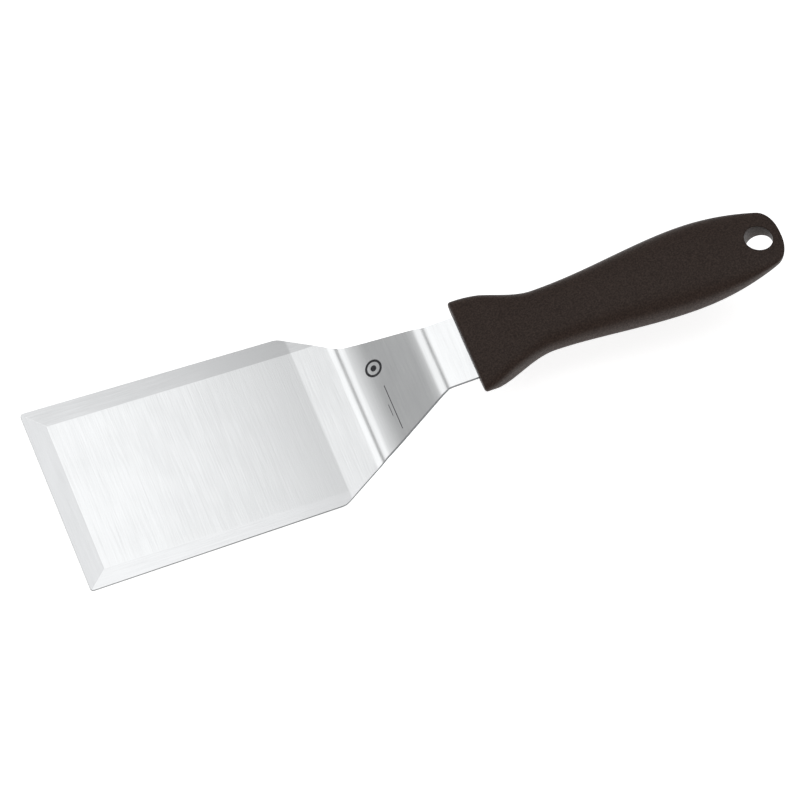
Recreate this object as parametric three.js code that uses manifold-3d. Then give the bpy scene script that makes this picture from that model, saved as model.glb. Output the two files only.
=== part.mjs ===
// Grill spatula: one stainless-steel pressing (blade, cranked step, neck and hidden tang) in a
// moulded polypropylene handle. Millimetres, +Z up. The blade lies on Z = 0 and the handle points
// along +X. The origin is under the middle of the tool's length and width.
//
// Two frames are used while building. The blade frame has X = 0 at the blade's front edge. The
// handle frame has X = 0 at the handle's front face and its X axis along the neck and tang.

import * as THREE from 'three';
import { ParametricGeometry } from 'three/addons/geometries/ParametricGeometry.js';
import { mergeVertices } from 'three/addons/utils/BufferGeometryUtils.js';
import Module from 'manifold-3d';

const wasm = await Module();
wasm.setup();

// --- Driving dimensions: blade ---
const BLADE_LENGTH = 105.2; // front edge to the corners where the sides turn in
const BLADE_FRONT_WIDTH = 85;
const BLADE_REAR_WIDTH = 80.4;
const REAR_CORNER_RADIUS = 7;
const FRONT_CORNER_RADIUS = 1.5;
const SHEET = 1.3; // thickness of the steel
const EDGE_THICKNESS = 0.65; // steel left standing along the bevelled edges
const CREASE_OVERRUN = 3; // rear corners to the crease, behind which the shoulder lifts a little
const CREASE_ANGLE = THREE.MathUtils.degToRad(1.3);
const FRONT_BEVEL = 7.9;
const LEFT_BEVEL = { front: 9.3, rear: 8.1 }; // +Y side
const RIGHT_BEVEL = { front: 7.4, rear: 5 }; // -Y side

// --- Driving dimensions: step and neck ---
const SHOULDER_LENGTH = 21.8; // rear corners to the outline's corners near the first bend, along X
const STEP_START_WIDTH = 53;
const STEP_CORNER_RADIUS = 12; // seen from above, where the outline turns at the first bend
const STEP_RUN = 30; // first bend to second bend, and the same between the outline's corners
const FOLD_LEAD = 0.8; // both folds lie this far ahead of the outline's corners
const STEP_RISE = 17.3;
const BEND_RADIUS = 16; // to the middle of the sheet
const NECK_WIDTH = 29.2;
const NECK_LENGTH = 12.4; // second bend to the handle's front face, along X
const NECK_ANGLE = THREE.MathUtils.degToRad(4.6);

// --- Driving dimensions: tang, hidden in the handle ---
const TANG_LENGTH = 88;
const TANG_WIDTH = 18;
const TANG_SHOULDER = 7; // handle's front face to where the neck's full width ends
const TANG_HOLE_DIAMETER = 7;
const TANG_HOLE_PLACES = [28, 50, 72];
const MOULD_CLEARANCE = 0.3; // between the steel and the plastic, on every side

// --- Driving dimensions: handle ---
const HANDLE_LENGTH = 131.2;
const FRONT_HALF_WIDTH = 21.5;
const WIDEST_LINE = { dipStart: 18, dipAt: 60, dip: -1.7, endAt: 140, end: 1.9 }; // over the axis
const WAIST = { at: 32, halfWidth: 13.3, below: 6.4 };
const BELLY = { at: 93, halfWidth: 17.7 };
const THICKEST = { at: 85, above: 7.6, below: 7.9 };
const LIP = { above: 3.8, below: 3.5 }; // front face, either side of the tang's middle
const CREST = { at: 12.2, above: 6.5 }; // straight ridge at the back of the front facet
const SCOOP = { at: 28, above: 5.8 }; // thumb rest behind the ridge
const HEEL = { at: 7, below: 7 };
const TAIL_SIDE_RADIUS = 100; // long arcs from the belly to the butt, seen from above
const TAIL_FACE_RADIUS = { above: 180, below: 215 }; // and seen from the side
const FRONT_FILLET = 1.1;
const SQUARENESS = { lip: 2.6, crest: 3.8, heel: 3.4, grip: 2.9 }; // exponents of the sections
const BUTT_CORNER = 6; // length of the butt's rounding, seen from above
const BUTT_EDGE = { above: 4, below: 10 }; // and seen from the side
const BUTT_SQUARENESS = 2.5;
const HANGING_HOLE_DIAMETER = 11.2;
const HANGING_HOLE_FROM_BUTT = 9.1;

// --- Mesh fineness ---
const SECTION_SEGMENTS = 48;
const STATION_STEP = 3.5;
const BEND_SEGMENTS = 10;
const HOLE_SEGMENTS = 40;
const REACH = 300; // longer than anything that a cutter has to pass through
const SLAB_THICKNESS = 25; // of the cutters that leave the bevels

const CREASE_X = BLADE_LENGTH + CREASE_OVERRUN; // flat on Z = 0 up to here
const STEP_START = BLADE_LENGTH + SHOULDER_LENGTH;
const HANDLE_FRONT_X = STEP_START + STEP_RUN + NECK_LENGTH;
const STEP_START_Z = SHEET / 2 + (STEP_START - CREASE_X) * Math.tan(CREASE_ANGLE);
const NECK_CORNER_Z = STEP_START_Z + STEP_RISE;
const FOLD_START_X = STEP_START - FOLD_LEAD;
const FOLD_START_Z = STEP_START_Z - FOLD_LEAD * Math.tan(CREASE_ANGLE);
const FOLD_END_Z = NECK_CORNER_Z - FOLD_LEAD * Math.tan(NECK_ANGLE);
const STEP_ANGLE = Math.atan2(FOLD_END_Z - FOLD_START_Z, STEP_RUN);
const BEND_SETBACK = BEND_RADIUS * Math.tan((STEP_ANGLE - CREASE_ANGLE) / 2);
const AXIS_Z = NECK_CORNER_Z + NECK_LENGTH * Math.tan(NECK_ANGLE); // at the handle's front face
const HOLE_X = HANDLE_LENGTH - HANGING_HOLE_FROM_BUTT;

// ---------------------------------------------------------------- solids and meshes

/** A closed geometry as a solid, with shared vertices merged and empty triangles dropped. */
function solid(geometry) {
  const bare = geometry.index ? geometry.toNonIndexed() : geometry.clone();
  bare.deleteAttribute('normal');
  bare.deleteAttribute('uv');
  const merged = mergeVertices(bare, 1e-4);
  const triangles = [];
  for (let i = 0; i < merged.index.count; i += 3) {
    const corners = [0, 1, 2].map((k) => merged.index.getX(i + k));
    if (new Set(corners).size === 3) triangles.push(...corners);
  }
  return new wasm.Manifold(new wasm.Mesh({
    numProp: 3,
    vertProperties: new Float32Array(merged.attributes.position.array),
    triVerts: new Uint32Array(triangles),
  }));
}

/** A solid as a named mesh. */
function namedMesh(name, body, material) {
  const { vertProperties, triVerts } = body.getMesh();
  const geometry = new THREE.BufferGeometry();
  geometry.setAttribute('position', new THREE.BufferAttribute(new Float32Array(vertProperties), 3));
  geometry.setIndex(new THREE.BufferAttribute(new Uint32Array(triVerts), 1));
  geometry.computeVertexNormals();
  const mesh = new THREE.Mesh(geometry, material);
  mesh.name = name;
  return mesh;
}

/** An outline seen from above, extruded along Z from bottom to top. */
function plate(shape, bottom, top) {
  const geometry = new THREE.ExtrudeGeometry(shape, {
    depth: top - bottom,
    bevelEnabled: false,
    curveSegments: 8,
  });
  return geometry.translate(0, 0, bottom);
}

/** A side view (X to the right, Z up) extruded across the tool's width. */
function acrossWidth(shape, width) {
  const geometry = new THREE.ExtrudeGeometry(shape, {
    depth: width,
    bevelEnabled: false,
    curveSegments: BEND_SEGMENTS,
  });
  return geometry.rotateX(Math.PI / 2).translate(0, width / 2, 0);
}

/** An upright pin through both faces, centred on x in its own frame. */
function pin(diameter, x) {
  return new THREE.CylinderGeometry(diameter / 2, diameter / 2, REACH, HOLE_SEGMENTS)
    .rotateX(Math.PI / 2)
    .translate(x, 0, 0);
}

/** Where the handle frame sits in the blade frame. */
function handlePlacement() {
  return new THREE.Matrix4()
    .makeTranslation(HANDLE_FRONT_X, 0, AXIS_Z)
    .multiply(new THREE.Matrix4().makeRotationY(-NECK_ANGLE));
}

// ---------------------------------------------------------------- steel pressing

/** Outline through corners [x, y, radius]; a corner with a radius is rounded. */
function roundedOutline(corners) {
  const shape = new THREE.Shape();
  corners.forEach(([x, y, radius = 0], i) => {
    const corner = new THREE.Vector2(x, y);
    const before = new THREE.Vector2(...corners.at(i - 1)).sub(corner).normalize();
    const after = new THREE.Vector2(...corners[(i + 1) % corners.length]).sub(corner).normalize();
    const turn = Math.PI - before.angleTo(after);
    const setback = radius * Math.tan(turn / 2);
    const start = corner.clone().addScaledVector(before, setback);
    const end = corner.clone().addScaledVector(after, setback);
    if (i === 0) shape.moveTo(start.x, start.y);
    else shape.lineTo(start.x, start.y);
    if (radius > 0) shape.quadraticCurveTo(x, y, end.x, end.y);
  });
  return shape;
}

/** The right-hand (-Y) corners, then the same corners mirrored on the left. */
function mirrored(corners) {
  const left = corners.map(([x, y, radius]) => [x, -y, radius]).reverse();
  return [...corners, ...left];
}

/** Blade, step and neck seen from above. */
function bladeOutline() {
  const neckEnd = HANDLE_FRONT_X + TANG_SHOULDER / 2;
  return roundedOutline(mirrored([
    [0, -BLADE_FRONT_WIDTH / 2, FRONT_CORNER_RADIUS],
    [BLADE_LENGTH, -BLADE_REAR_WIDTH / 2, REAR_CORNER_RADIUS],
    [STEP_START, -STEP_START_WIDTH / 2, STEP_CORNER_RADIUS],
    [STEP_START + STEP_RUN, -NECK_WIDTH / 2],
    [neckEnd, -NECK_WIDTH / 2],
  ]));
}

/** The tang in the handle frame, grown on every side by the given clearance. */
function tangOutline(clearance) {
  const neck = NECK_WIDTH / 2 + clearance;
  const half = TANG_WIDTH / 2 + clearance;
  const shoulder = TANG_SHOULDER + clearance;
  const end = TANG_LENGTH + clearance;
  return roundedOutline(mirrored([
    [-NECK_LENGTH / 2, -neck],
    [shoulder, -neck],
    [shoulder + neck - half, -half],
    [end, -half, TANG_WIDTH / 4],
  ]));
}

/** Stations [x, z, slope] round one bend of the sheet's middle line. */
function bendStations(x, z, slopeIn, slopeOut) {
  const turn = slopeOut - slopeIn;
  const tangent = BEND_RADIUS * Math.tan(Math.abs(turn) / 2);
  const start = new THREE.Vector2(x - tangent * Math.cos(slopeIn), z - tangent * Math.sin(slopeIn));
  const side = Math.sign(turn) * BEND_RADIUS;
  const centre = new THREE.Vector2(start.x - side * Math.sin(slopeIn), start.y + side * Math.cos(slopeIn));
  return Array.from({ length: BEND_SEGMENTS + 1 }, (_, i) => {
    const slope = slopeIn + (turn * i) / BEND_SEGMENTS;
    return [centre.x + side * Math.sin(slope), centre.y - side * Math.cos(slope), slope];
  });
}

/** Side view of the bent sheet, from the front edge to the tang's end. */
function sheetProfile() {
  const tangEnd = new THREE.Vector3(TANG_LENGTH, 0, 0).applyMatrix4(handlePlacement());
  const stations = [
    [0, SHEET / 2, 0],
    [CREASE_X, SHEET / 2, CREASE_ANGLE / 2],
    ...bendStations(FOLD_START_X, FOLD_START_Z, CREASE_ANGLE, STEP_ANGLE),
    ...bendStations(FOLD_START_X + STEP_RUN, FOLD_END_Z, STEP_ANGLE, NECK_ANGLE),
    [tangEnd.x, tangEnd.z, NECK_ANGLE],
  ];
  const offset = (distance) => stations.map(([x, z, slope]) => new THREE.Vector2(
    x - distance * Math.sin(slope),
    z + distance * Math.cos(slope),
  ));
  return new THREE.Shape([...offset(-SHEET / 2), ...offset(SHEET / 2).reverse()]);
}

/** A thick slab resting on the plane through three points, given anticlockwise seen from above. */
function slabOn(a, b, c) {
  const normal = new THREE.Plane().setFromCoplanarPoints(a, b, c).normal;
  const turn = new THREE.Quaternion().setFromUnitVectors(new THREE.Vector3(0, 0, 1), normal);
  const block = new THREE.BoxGeometry(REACH, REACH, SLAB_THICKNESS).translate(0, 0, SLAB_THICKNESS / 2);
  return block.applyQuaternion(turn).translate(a.x, a.y, a.z);
}

/** The cutter that leaves the front bevel. */
function frontBevelCut() {
  return slabOn(
    new THREE.Vector3(0, 0, EDGE_THICKNESS),
    new THREE.Vector3(FRONT_BEVEL, 0, SHEET),
    new THREE.Vector3(0, 1, EDGE_THICKNESS),
  );
}

/** The cutter that leaves one side's bevel; side is +1 on the left and -1 on the right. */
function sideBevelCut(side, { front, rear }) {
  const corner = new THREE.Vector3(0, (side * BLADE_FRONT_WIDTH) / 2, EDGE_THICKNESS);
  const inner = new THREE.Vector3(0, side * (BLADE_FRONT_WIDTH / 2 - front), SHEET);
  const innerRear = new THREE.Vector3(BLADE_LENGTH, side * (BLADE_REAR_WIDTH / 2 - rear), SHEET);
  return side > 0 ? slabOn(corner, inner, innerRear) : slabOn(corner, innerRear, inner);
}

/** All that lies between two places along the tool, given in the blade frame. */
function spaceBetween(start, end) {
  const middle = (start + end) / 2;
  return solid(new THREE.BoxGeometry(end - start, REACH, REACH).translate(middle, 0, 0));
}

/** Where the shoulder's own frame sits: the blade frame, turned up about the crease. */
function shoulderPlacement() {
  return new THREE.Matrix4()
    .makeTranslation(CREASE_X, 0, 0)
    .multiply(new THREE.Matrix4().makeRotationY(-CREASE_ANGLE))
    .multiply(new THREE.Matrix4().makeTranslation(-CREASE_X, 0, 0));
}

/** What the bevels take off: on the blade, and where the side bevels run on over the shoulder. */
function bevelCuts() {
  const sides = [sideBevelCut(1, LEFT_BEVEL), sideBevelCut(-1, RIGHT_BEVEL)];
  const turned = sides.map((side) => side.clone().applyMatrix4(shoulderPlacement()));
  const onBlade = sides.reduce((all, side) => all.add(solid(side)), solid(frontBevelCut()));
  const onShoulder = solid(turned[0]).add(solid(turned[1]));
  return onBlade
    .intersect(spaceBetween(-REACH, CREASE_X))
    .add(onShoulder.intersect(spaceBetween(CREASE_X, FOLD_START_X - BEND_SETBACK)));
}

/** Blade, step, neck and tang as one piece of steel. */
function steelPressing() {
  const sheet = solid(acrossWidth(sheetProfile(), 2 * BLADE_FRONT_WIDTH));
  const blade = solid(plate(bladeOutline(), -REACH, REACH));
  const tang = solid(plate(tangOutline(0), -BEND_RADIUS, BEND_RADIUS).applyMatrix4(handlePlacement()));
  let pressing = sheet.intersect(blade.add(tang)).subtract(bevelCuts());
  for (const place of TANG_HOLE_PLACES) {
    pressing = pressing.subtract(solid(pin(TANG_HOLE_DIAMETER, place).applyMatrix4(handlePlacement())));
  }
  return pressing;
}

// ---------------------------------------------------------------- handle

/** Eases from one value to the next between two places along the handle. */
function ease(x, fromX, toX, from, to) {
  return from + (to - from) * THREE.MathUtils.smoothstep(x, fromX, toX);
}

/** How far a long arc of the given radius has dropped at x, starting at start. */
function arcDrop(x, start, radius) {
  const along = Math.max(0, x - start);
  return radius - Math.sqrt(radius ** 2 - along ** 2);
}

/** Share of the full size left at x, where the butt rounds off over the given length. */
function buttShare(x, length) {
  const along = THREE.MathUtils.clamp((x - HANDLE_LENGTH + length) / length, 0, 1);
  return (1 - along ** BUTT_SQUARENESS) ** (1 / BUTT_SQUARENESS);
}

/** How much the fillet round the front face takes off the section at x. */
function frontFillet(x) {
  const along = THREE.MathUtils.clamp(FRONT_FILLET - x, 0, FRONT_FILLET);
  return FRONT_FILLET - Math.sqrt(FRONT_FILLET ** 2 - along ** 2);
}

/** Half the handle's width at x. */
function halfWidth(x) {
  const body = x < WAIST.at
    ? ease(x, 0, WAIST.at, FRONT_HALF_WIDTH, WAIST.halfWidth)
    : ease(x, WAIST.at, BELLY.at, WAIST.halfWidth, BELLY.halfWidth);
  return (body - arcDrop(x, BELLY.at, TAIL_SIDE_RADIUS)) * buttShare(x, BUTT_CORNER) - frontFillet(x);
}

/** Height of the handle's widest line over its axis at x. */
function centreHeight(x) {
  const { dipStart, dipAt, dip, endAt, end } = WIDEST_LINE;
  return x < dipAt ? ease(x, dipStart, dipAt, 0, dip) : ease(x, dipAt, endAt, dip, end);
}

/** Height of the handle above its widest line at x. */
function heightAbove(x) {
  let body = THREE.MathUtils.mapLinear(x, 0, CREST.at, LIP.above, CREST.above);
  if (x > CREST.at) body = ease(x, CREST.at, SCOOP.at, CREST.above, SCOOP.above);
  if (x > SCOOP.at) body = ease(x, SCOOP.at, THICKEST.at, SCOOP.above, THICKEST.above);
  const tail = arcDrop(x, THICKEST.at, TAIL_FACE_RADIUS.above);
  return (body - tail - centreHeight(x)) * buttShare(x, BUTT_EDGE.above) - frontFillet(x);
}

/** Depth of the handle below its widest line at x. */
function depthBelow(x) {
  let body = ease(x, 0, HEEL.at, LIP.below, HEEL.below);
  if (x > HEEL.at) body = ease(x, HEEL.at, WAIST.at, HEEL.below, WAIST.below);
  if (x > WAIST.at) body = ease(x, WAIST.at, THICKEST.at, WAIST.below, THICKEST.below);
  const tail = arcDrop(x, THICKEST.at, TAIL_FACE_RADIUS.below);
  return (body - tail + centreHeight(x)) * buttShare(x, BUTT_EDGE.below) - frontFillet(x);
}

/** Exponent of the section's superellipse at x: boxiest at the crest, rounder along the grip. */
function squareness(x, isTop) {
  const boxiest = isTop ? SQUARENESS.crest : SQUARENESS.heel;
  return x < CREST.at
    ? ease(x, 0, CREST.at, SQUARENESS.lip, boxiest)
    : ease(x, CREST.at, WAIST.at, boxiest, SQUARENESS.grip);
}

/** Places along the handle where a section is drawn, closer together at both ends. */
function sectionPlaces() {
  const grip = HANDLE_LENGTH - BUTT_CORNER - CREST.at;
  const steps = Math.round(grip / STATION_STEP);
  const front = [0, 0.15, 0.5, 1].map((share) => share * FRONT_FILLET);
  const facet = [0.4, 0.7].map((share) => share * CREST.at);
  const body = Array.from({ length: steps + 1 }, (_, i) => CREST.at + (grip * i) / steps);
  const buttStart = HANDLE_LENGTH - BUTT_CORNER;
  const butt = [0.25, 0.5, 0.68, 0.82, 0.92, 0.98, 1].map((share) => buttStart + share * BUTT_CORNER);
  return [...front, ...facet, ...body, ...butt];
}

/** The handle's outer skin, closed by a flat front face. */
function handleSkin() {
  const places = sectionPlaces();
  const rings = places.length + 1; // one more for the middle of the front face
  const point = (u, v, target) => {
    const ring = Math.round(v * (rings - 1));
    const x = places[Math.max(0, ring - 1)];
    const reach = ring === 0 ? 0 : 1;
    const angle = 2 * Math.PI * Math.round(u * SECTION_SEGMENTS) / SECTION_SEGMENTS;
    const power = 2 / squareness(x, Math.sin(angle) > 0);
    const round = (value) => Math.sign(value) * Math.abs(value) ** power;
    const height = Math.sin(angle) > 0 ? heightAbove(x) : depthBelow(x);
    const across = reach * halfWidth(x) * round(Math.cos(angle));
    target.set(x, across, centreHeight(x) + reach * height * round(Math.sin(angle)));
  };
  return new ParametricGeometry(point, SECTION_SEGMENTS, rings - 1);
}

/** The hollow that the tang fills, with the studs of plastic that fill the tang's holes left in. */
function tangPocket() {
  const half = SHEET / 2 + MOULD_CLEARANCE;
  let pocket = solid(plate(tangOutline(MOULD_CLEARANCE), -half, half));
  for (const place of TANG_HOLE_PLACES) {
    pocket = pocket.subtract(solid(pin(TANG_HOLE_DIAMETER - 2 * MOULD_CLEARANCE, place)));
  }
  return pocket;
}

/** The moulded handle in its own frame. */
function mouldedHandle() {
  return solid(handleSkin())
    .subtract(tangPocket())
    .subtract(solid(pin(HANGING_HOLE_DIAMETER, HOLE_X)));
}

// ---------------------------------------------------------------- assembly

const steel = new THREE.MeshStandardMaterial({ color: 0xd9dbdc, roughness: 0.28, metalness: 1 });
const plastic = new THREE.MeshStandardMaterial({ color: 0x2b2420, roughness: 0.55, metalness: 0 });

const handleFrame = new THREE.Group();
handleFrame.applyMatrix4(handlePlacement());
handleFrame.add(namedMesh('handle', mouldedHandle(), plastic));

const spatula = new THREE.Group();
spatula.add(namedMesh('steel_pressing', steelPressing(), steel), handleFrame);

const box = new THREE.Box3().setFromObject(spatula, true);
spatula.position.set(-(box.min.x + box.max.x) / 2, 0, -box.min.z);

export default spatula;
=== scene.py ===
"""Grill spatula: a brushed stainless-steel pressing in a grained, moulded plastic handle.

The steel is made as a flat, bevelled blank and folded along five bends, as a press brake would
do it. The handle is lofted through sections along the tang. Sizes are in millimetres until a
mesh is written, and Blender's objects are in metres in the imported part's own frame.
"""

import logging
import math
from collections.abc import Callable, Iterable, Sequence
from dataclasses import dataclass, field
from enum import Enum
from functools import cached_property
from typing import Any

import bmesh
import bpy
import numpy as np
from bmesh.types import BMesh, BMFace
from bpy.types import Light, Material, Mesh, NodeSocket, NodeTree, Object
from mathutils import Matrix, Vector
from mathutils.geometry import tessellate_polygon


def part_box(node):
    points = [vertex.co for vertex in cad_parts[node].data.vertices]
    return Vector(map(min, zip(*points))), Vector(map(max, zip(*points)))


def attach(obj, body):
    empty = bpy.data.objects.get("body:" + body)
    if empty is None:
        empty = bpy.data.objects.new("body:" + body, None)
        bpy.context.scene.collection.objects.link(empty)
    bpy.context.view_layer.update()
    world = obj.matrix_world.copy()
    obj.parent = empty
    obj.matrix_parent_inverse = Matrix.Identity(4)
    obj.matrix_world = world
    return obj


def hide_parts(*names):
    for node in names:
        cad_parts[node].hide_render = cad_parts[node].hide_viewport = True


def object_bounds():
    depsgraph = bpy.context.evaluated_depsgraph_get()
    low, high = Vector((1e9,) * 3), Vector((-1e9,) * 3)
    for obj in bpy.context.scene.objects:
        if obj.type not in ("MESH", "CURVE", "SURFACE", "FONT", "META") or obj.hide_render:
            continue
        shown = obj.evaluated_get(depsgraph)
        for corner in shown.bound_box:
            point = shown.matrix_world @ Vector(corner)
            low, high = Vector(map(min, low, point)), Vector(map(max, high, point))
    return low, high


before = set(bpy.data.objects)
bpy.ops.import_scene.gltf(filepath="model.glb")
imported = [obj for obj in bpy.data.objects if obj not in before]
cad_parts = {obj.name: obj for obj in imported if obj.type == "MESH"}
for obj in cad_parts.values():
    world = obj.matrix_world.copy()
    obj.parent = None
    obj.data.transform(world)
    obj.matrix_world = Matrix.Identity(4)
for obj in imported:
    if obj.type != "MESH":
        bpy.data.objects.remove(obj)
CAD_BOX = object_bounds()

MM = 0.001
BODY = "root"
SAME_PLACE = 1e-4  # points of a flat outline closer than this are one, in millimetres
SAME_HEIGHT = 1e-6  # heights of the blank's top closer than this are equal, in millimetres
SLIVER = 1e-3  # edges of the flat blank shorter than this are closed up, in millimetres
DIGITS = 5  # rows are told apart to this many decimals of a millimetre
QUARTER_TURN = math.pi / 2
LOG = logging.getLogger("grill_spatula")

Point2 = tuple[float, float]
Colour = tuple[float, float, float]


class Side(Enum):
    """A side of the blade, seen from its front edge looking along the tool."""

    LEFT = 1
    RIGHT = -1


class Zone(Enum):
    """A part of the steel's skin with a finish of its own."""

    ROLLED = 0
    SIDE_BEVEL = 1
    SHEARED = 2
    FRONT_BEVEL = 3


class Fold(Enum):
    """A fold of the steel, in order from the front edge."""

    CREASE = "Crease"
    LOWER = "Lower bend"
    EASE_IN = "Ease in"
    EASE_OUT = "Ease out"
    UPPER = "Upper bend"


class Brushing(Enum):
    """Which way the fine scratches of the steel run."""

    ACROSS = 0
    ALONG = 1


# ---------------------------------------------------------------- node trees


class Wiring:
    """Builds one node tree from plain calls."""

    def __init__(self, tree: NodeTree) -> None:
        """Starts on an empty or new tree."""
        self.tree = tree

    @cached_property
    def place(self) -> NodeSocket:
        """The object coordinates, in a material's tree."""
        return self.node("ShaderNodeTexCoord").outputs["Object"]

    def node(self, kind: str, sockets: dict[str | int, Any] | None = None, **settings: Any) -> Any:
        """Adds a node, sets its properties and feeds its inputs.

        Args:
            kind: The node's type name.
            sockets: Values or output sockets by input name or number.
            **settings: Properties of the node itself.

        Returns:
            The new node.
        """
        node = self.tree.nodes.new(kind)
        for name, value in settings.items():
            setattr(node, name, value)
        for key, value in (sockets or {}).items():
            self.feed(self.socket(node.inputs, key), value)
        return node

    @staticmethod
    def socket(sockets: Any, key: str | int) -> NodeSocket:
        """Finds a socket in use.

        Args:
            sockets: A node's inputs or outputs.
            key: The socket's name or number.

        Returns:
            The first enabled socket with that name, or the one with that number.
        """
        if isinstance(key, int):
            return sockets[key]
        return next(s for s in sockets if s.name == key and s.enabled)

    def feed(self, target: NodeSocket, value: Any) -> None:
        """Links a socket to an input, or sets the input's value.

        Args:
            target: The input socket.
            value: An output socket, or a plain value.
        """
        if isinstance(value, NodeSocket):
            self.tree.links.new(value, target)
        else:
            target.default_value = value

    def math(self, operation: str, *values: Any) -> NodeSocket:
        """The result of one Math node, with its inputs in order."""
        return self.node("ShaderNodeMath", dict(enumerate(values)), operation=operation).outputs[0]

    def split(self, vector: NodeSocket) -> Any:
        """A vector's X, Y and Z."""
        return self.node("ShaderNodeSeparateXYZ", {0: vector}).outputs

    def noise(
        self, place: NodeSocket, scale: float, detail: float = 2.0, roughness: float = 0.5
    ) -> NodeSocket:
        """Cloudy noise from 0 to 1."""
        sockets = {"Vector": place, "Scale": scale, "Detail": detail, "Roughness": roughness}
        return self.node("ShaderNodeTexNoise", sockets).outputs["Fac"]

    def remap(
        self, value: NodeSocket, given: Point2, wanted: Point2, curve: str = "LINEAR"
    ) -> NodeSocket:
        """A value moved from one range to another, and held to it."""
        sockets = dict(zip(("Value", "From Min", "From Max", "To Min", "To Max"), (value, *given, *wanted)))
        return self.node("ShaderNodeMapRange", sockets, interpolation_type=curve).outputs[0]

    def relief(self, height: NodeSocket, depth: float) -> NodeSocket:
        """Normals bent by a height of 0 to 1, times a depth in metres."""
        return self.node("ShaderNodeBump", {"Height": height, "Distance": depth}).outputs[0]

    def tint(self, value: NodeSocket, fade: Point2, *colours: Colour) -> NodeSocket:
        """Fades from one colour to another.

        Args:
            value: What the colour follows.
            fade: Its values where the first colour ends and the second is full.
            *colours: The two colours.

        Returns:
            The colour.
        """
        ramp = self.node("ShaderNodeValToRGB", {"Fac": value})
        for stop, position, colour in zip(ramp.color_ramp.elements, fade, colours):
            stop.position = position
            stop.color = (*colour, 1.0)
        return ramp.outputs["Color"]


def geometry_tree(name: str, inputs: Iterable[tuple[str, str]]) -> tuple[Wiring, Any, Any]:
    """A geometry node tree with a geometry in, a geometry out and named inputs.

    Args:
        name: The tree's name.
        inputs: Pairs of input name and socket type.

    Returns:
        The wiring, the group input node and the group output node.
    """
    tree = bpy.data.node_groups.new(name, "GeometryNodeTree")
    tree.interface.new_socket("Geometry", in_out="INPUT", socket_type="NodeSocketGeometry")
    tree.interface.new_socket("Geometry", in_out="OUTPUT", socket_type="NodeSocketGeometry")
    for label, kind in inputs:
        tree.interface.new_socket(label, in_out="INPUT", socket_type=kind)
    wiring = Wiring(tree)
    return wiring, wiring.node("NodeGroupInput"), wiring.node("NodeGroupOutput")


def run_tree(piece: Object, tree: NodeTree, values: dict[str, Any]) -> None:
    """Runs a geometry node tree on a piece and keeps the result as its plain mesh.

    Args:
        piece: The object whose mesh goes in and is replaced.
        tree: The geometry node tree.
        values: The modifier's inputs by name.
    """
    modifier = piece.modifiers.new(tree.name, "NODES")
    modifier.node_group = tree
    for item in tree.interface.items_tree:
        if item.in_out == "INPUT" and item.name in values:
            modifier[item.identifier] = values[item.name]
    settle(piece)


def settle(piece: Object) -> None:
    """Replaces a piece's mesh by what its modifiers make of it, and removes them.

    Args:
        piece: The object.
    """
    graph = bpy.context.evaluated_depsgraph_get()
    mesh = bpy.data.meshes.new_from_object(piece.evaluated_get(graph), depsgraph=graph)
    piece.modifiers.clear()
    old = piece.data
    piece.data = mesh
    mesh.name = piece.name
    bpy.data.meshes.remove(old)


def new_piece(name: str, mesh: Mesh) -> Object:
    """An object at the origin that shows a mesh.

    Args:
        name: The object's name.
        mesh: Its mesh.

    Returns:
        The object, linked into the scene.
    """
    piece = bpy.data.objects.new(name, mesh)
    bpy.context.scene.collection.objects.link(piece)
    return piece


def declare(piece: Object, slot: str, *nodes: str) -> None:
    """Says which body, material slot and CAD nodes a finished piece goes with, and logs it.

    Args:
        piece: The finished piece.
        slot: The record's material slot.
        *nodes: CAD nodes that it stands for.
    """
    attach(piece, BODY)
    if nodes:
        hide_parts(*nodes)
    LOG.info("%s: %d faces, %s", piece.name, len(piece.data.polygons), slot)


# ---------------------------------------------------------------- finishes


class Finish:
    """A procedural finish whose pattern follows the object's own coordinates."""

    name: str

    def material(self) -> Material:
        """Builds the finish.

        Returns:
            The material.
        """
        material = bpy.data.materials.new(self.name)
        material.use_nodes = True
        wiring = Wiring(material.node_tree)
        shader = material.node_tree.nodes["Principled BSDF"]
        for key, value in self.surface(wiring).items():
            wiring.feed(shader.inputs[key], value)
        return material

    def surface(self, wiring: Wiring) -> dict[str, Any]:
        """Makes the finish's own nodes.

        Args:
            wiring: The material's nodes.

        Returns:
            Values or output sockets by the shader's input name.
        """
        raise NotImplementedError


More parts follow.
